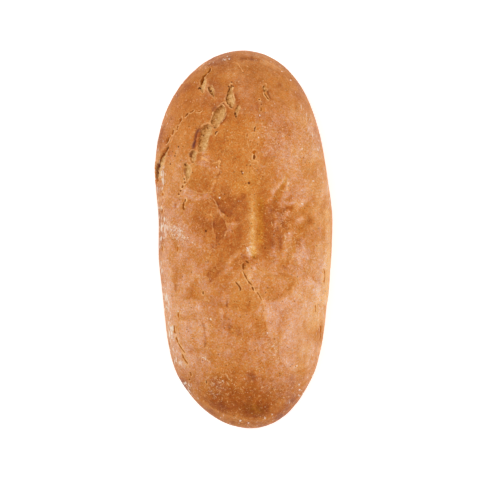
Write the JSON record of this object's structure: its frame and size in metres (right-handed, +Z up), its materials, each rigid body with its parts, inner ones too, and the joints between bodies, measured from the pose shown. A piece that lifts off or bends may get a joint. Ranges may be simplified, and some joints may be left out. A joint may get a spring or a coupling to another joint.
{
  "type": "wheat-rye bread loaf",
  "caption": "Long oval wheat-rye hearth loaf with a domed brown crust, burst tears near one end, a pinched ridge on top and a flat base.",
  "frame": {"origin": "centre of the loaf's bounding box, on the surface it rests on", "axes": "+Y along the loaf towards its fuller end, +X across it, +Z up"},
  "size_m": [0.1415, 0.3016, 0.0856],
  "materials": {
    "crust": "matte baked crust with a dusting of flour"
  },
  "bodies": {
    "root": {"loaf": "crust"}
  },
  "joints": []
}
